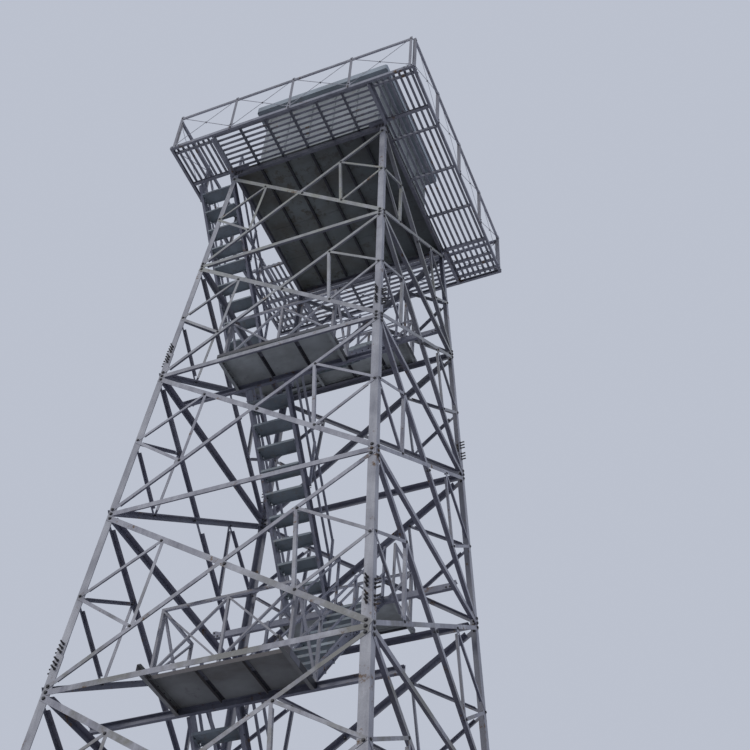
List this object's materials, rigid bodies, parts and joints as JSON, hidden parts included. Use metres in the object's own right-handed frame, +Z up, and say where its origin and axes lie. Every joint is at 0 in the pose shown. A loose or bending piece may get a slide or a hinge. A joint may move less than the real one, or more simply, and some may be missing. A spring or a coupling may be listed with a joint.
{
  "type": "fire lookout tower",
  "caption": "Tall square lattice tower of angle iron with a switchback stair inside and a railed platform round a small flat-roofed cabin.",
  "frame": {"origin": "on the ground at the tower's middle, below the centre of the four footings", "axes": "+Z up; X along the front, with +X to the right of someone facing the front; +Y from the front to the rear"},
  "size_m": [5.602, 5.602, 22.468],
  "materials": {
    "galvanised_steel": "weathered zinc coat, dull, with rust at the joints",
    "rail_steel": "weathered zinc coat, dull",
    "stair_steel": "weathered zinc coat, dull",
    "tread_plate": "blue-grey painted plate, worn",
    "landing_plate": "olive-brown painted plate, stained",
    "platform_steel": "weathered zinc coat, dark and dull",
    "joist_steel": "dark paint, matt",
    "floor_plate": "painted plate, stained below",
    "concrete": "cast concrete, rough",
    "cabin_panel": "painted sheet, matt",
    "roof_sheet": "painted sheet, teal grey",
    "window_glass": "clear window glass",
    "door_paint": "painted sheet, matt"
  },
  "bodies": {
    "root": {"leg_front_left": "galvanised_steel", "leg_front_right": "galvanised_steel", "leg_rear_right": "galvanised_steel", "leg_rear_left": "galvanised_steel", "footings": "concrete", "bracing_front": "galvanised_steel", "bracing_right": "galvanised_steel", "bracing_rear": "galvanised_steel", "bracing_left": "galvanised_steel", "entry_portal": "galvanised_steel", "landing_1": "landing_plate", "landing_2": "landing_plate", "landing_3": "landing_plate", "landing_4": "landing_plate", "landing_5": "landing_plate", "landing_6": "landing_plate", "landing_beams": "stair_steel", "landing_rails_front": "rail_steel", "landing_rails_rear": "rail_steel", "stringers_left_lane": "stair_steel", "stringers_right_lane": "stair_steel", "stringers_top_flight": "stair_steel", "treads_left_lane": "tread_plate", "treads_right_lane": "tread_plate", "treads_top_flight": "tread_plate", "handrails_left_lane": "stair_steel", "handrails_right_lane": "stair_steel", "handrails_top_flight": "stair_steel", "ring_beams": "platform_steel", "joists": "joist_steel", "floor_plate": "floor_plate", "walkway_front": "platform_steel", "walkway_rear": "platform_steel", "walkway_right": "platform_steel", "walkway_left": "platform_steel", "guardrail_front": "rail_steel", "guardrail_right": "rail_steel", "guardrail_rear": "rail_steel", "guardrail_left": "rail_steel", "wall_front": "cabin_panel", "wall_right": "cabin_panel", "wall_rear": "cabin_panel", "wall_left": "cabin_panel", "window_pane": "window_glass", "door_leaf": "door_paint", "roof": "roof_sheet"}
  },
  "joints": []
}
